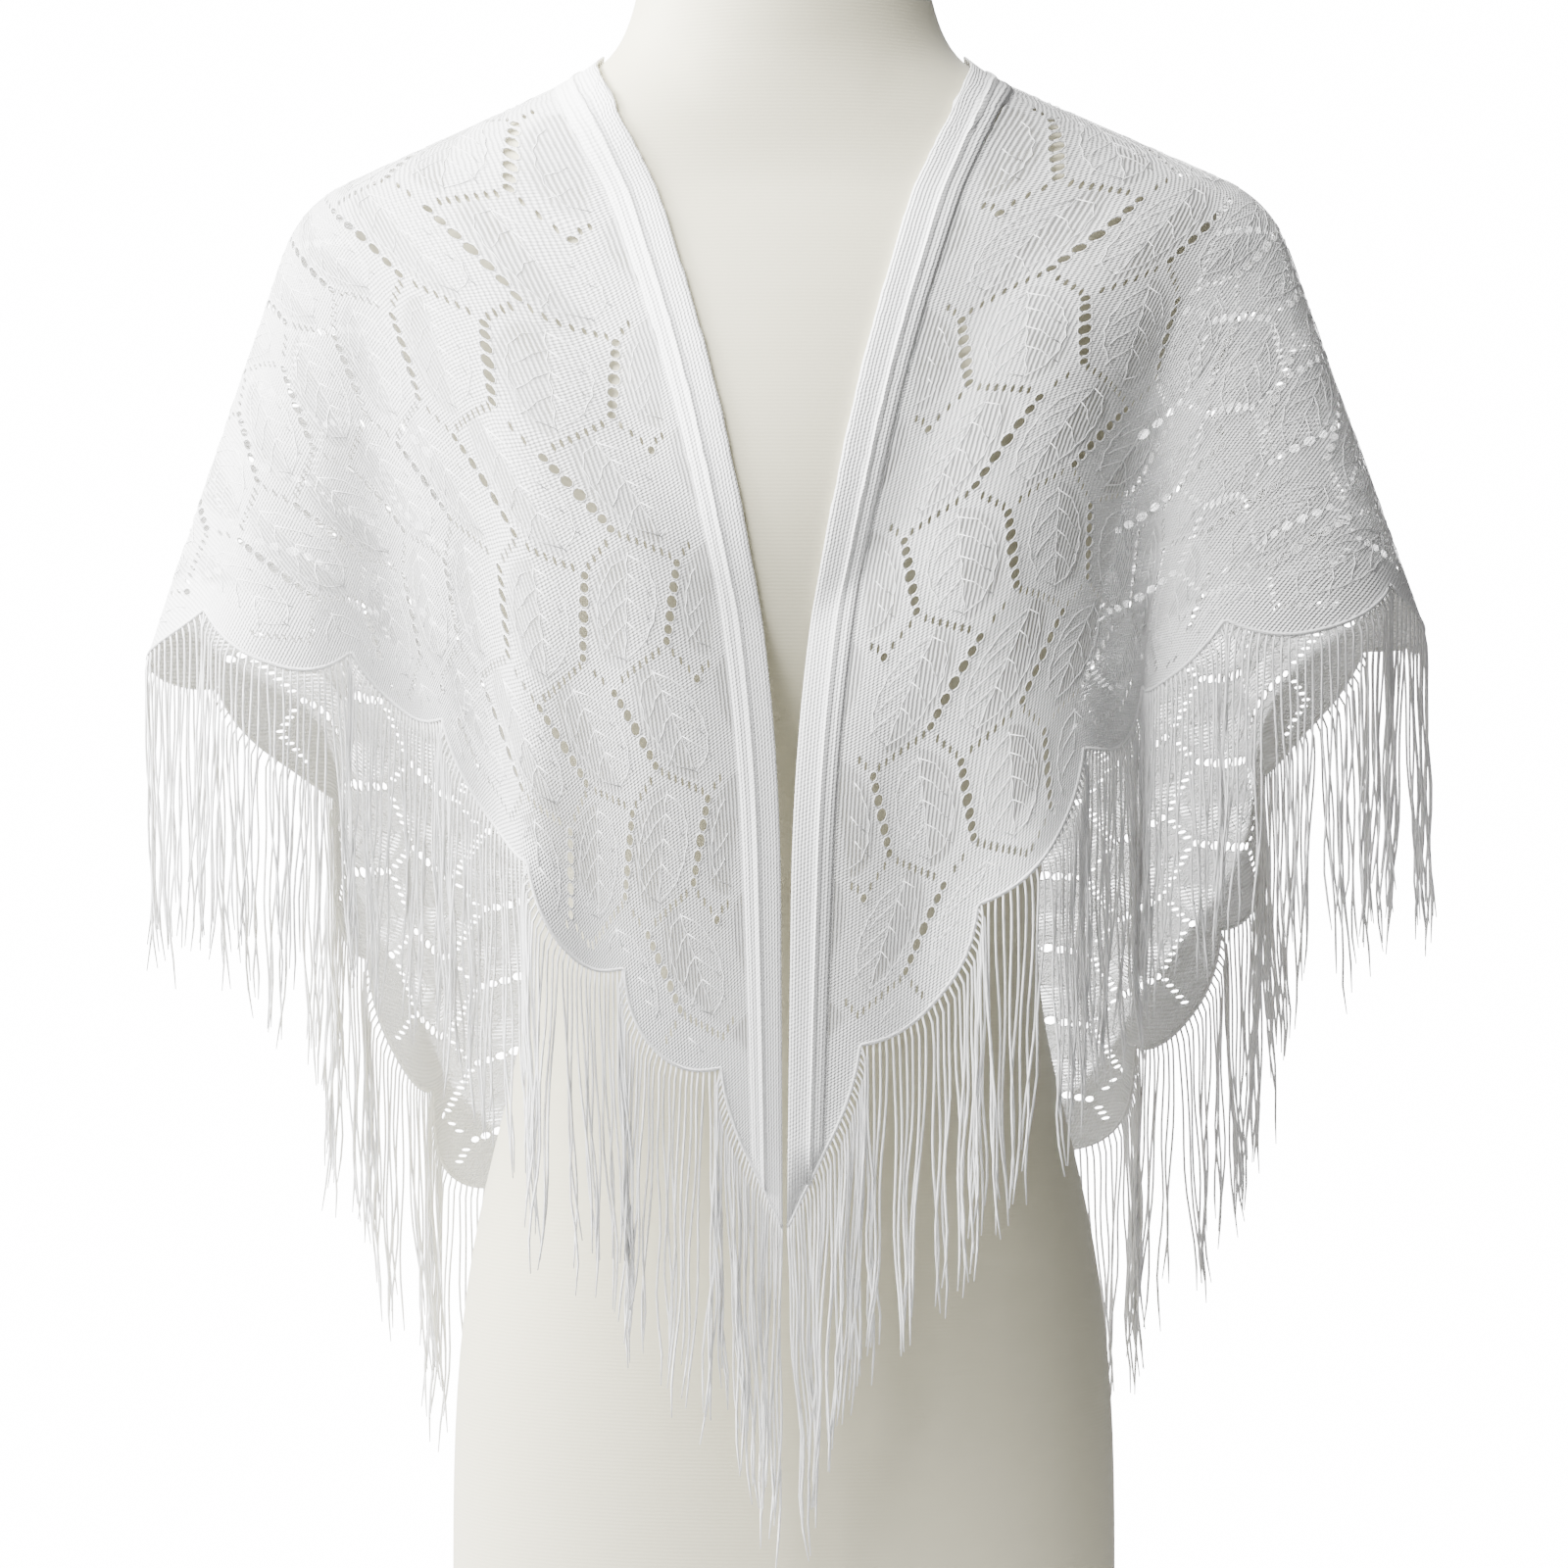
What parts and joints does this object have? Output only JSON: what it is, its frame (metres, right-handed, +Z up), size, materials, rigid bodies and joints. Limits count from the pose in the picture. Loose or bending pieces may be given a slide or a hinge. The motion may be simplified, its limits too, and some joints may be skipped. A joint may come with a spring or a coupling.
{
  "type": "lace scarf on a dress form",
  "caption": "Fringed triangular lace scarf with scalloped hem, draped over the shoulders of a limbless dress form.",
  "frame": {"origin": "middle of the dress form's flat base, under the middle of the whole part", "axes": "+Z up, -Y towards the front where the scarf's two fronts meet, +X to the viewer's right"},
  "size_m": [0.5953, 0.2871, 0.862],
  "materials": {
    "form_jersey": "matt cream jersey",
    "lace_yarn": "soft white lace",
    "band_yarn": "close white ribbed heading",
    "fringe_yarn": "fine white yarn"
  },
  "bodies": {
    "root": {"dress_form": "form_jersey", "lace_wrap": "lace_yarn", "edge_band": "band_yarn", "fringe_left": "fringe_yarn", "fringe_right": "fringe_yarn"}
  },
  "joints": []
}
